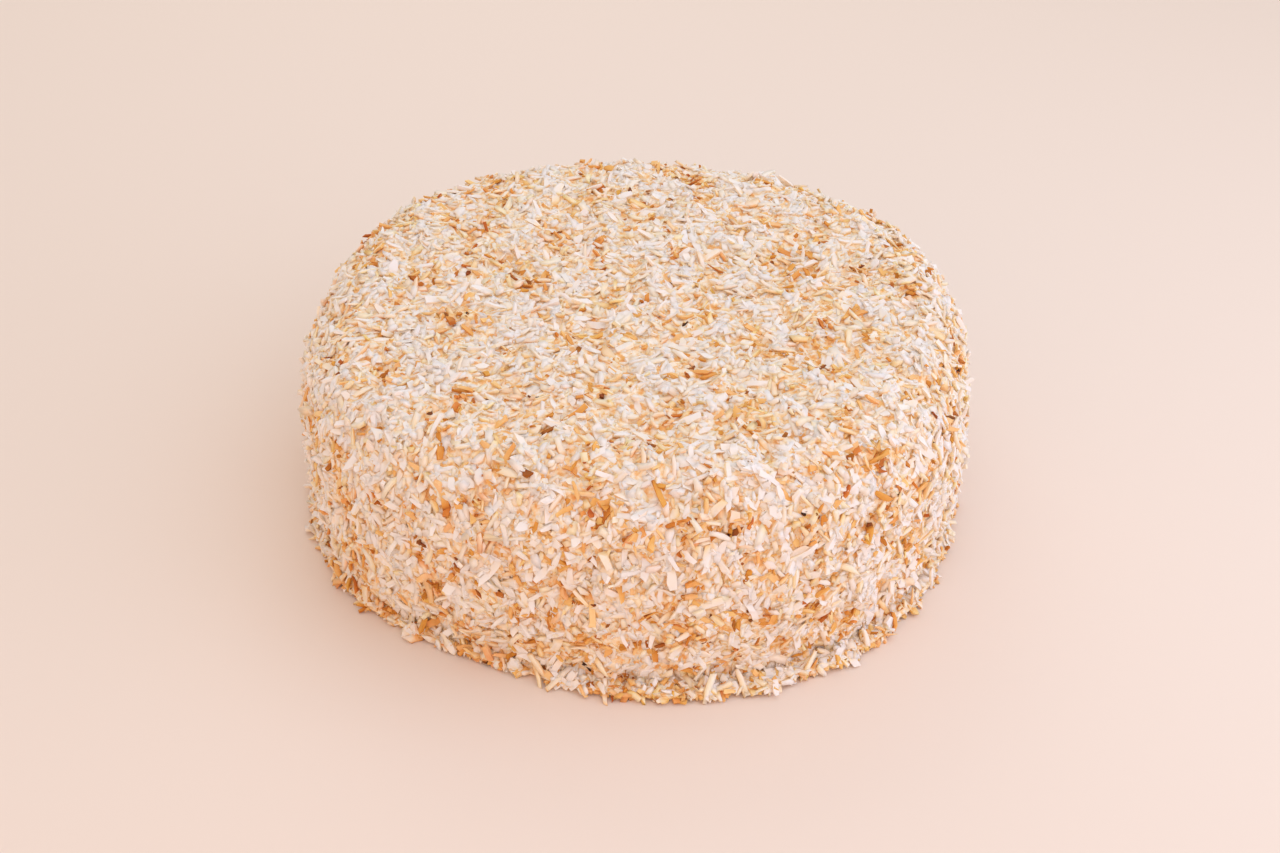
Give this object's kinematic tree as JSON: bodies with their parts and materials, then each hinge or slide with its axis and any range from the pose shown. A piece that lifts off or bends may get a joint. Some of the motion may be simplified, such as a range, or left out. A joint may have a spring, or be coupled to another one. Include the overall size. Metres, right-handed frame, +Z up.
{
  "type": "coconut cream cake",
  "caption": "Whole round layer cake, coated all over with shredded toasted coconut, with a rolled top edge and a low bank of fallen shreds at its foot.",
  "frame": {"origin": "centre of the flat base, on the surface that the cake stands on", "axes": "+Z up, out of the top of the cake; -Y is the front"},
  "size_m": [0.2234, 0.228, 0.0754],
  "materials": {
    "coat_cream": null,
    "coconut_white": null,
    "coconut_cream": null,
    "coconut_golden": null,
    "coconut_brown": null
  },
  "bodies": {
    "root": {"cake": "coat_cream"}
  },
  "joints": []
}
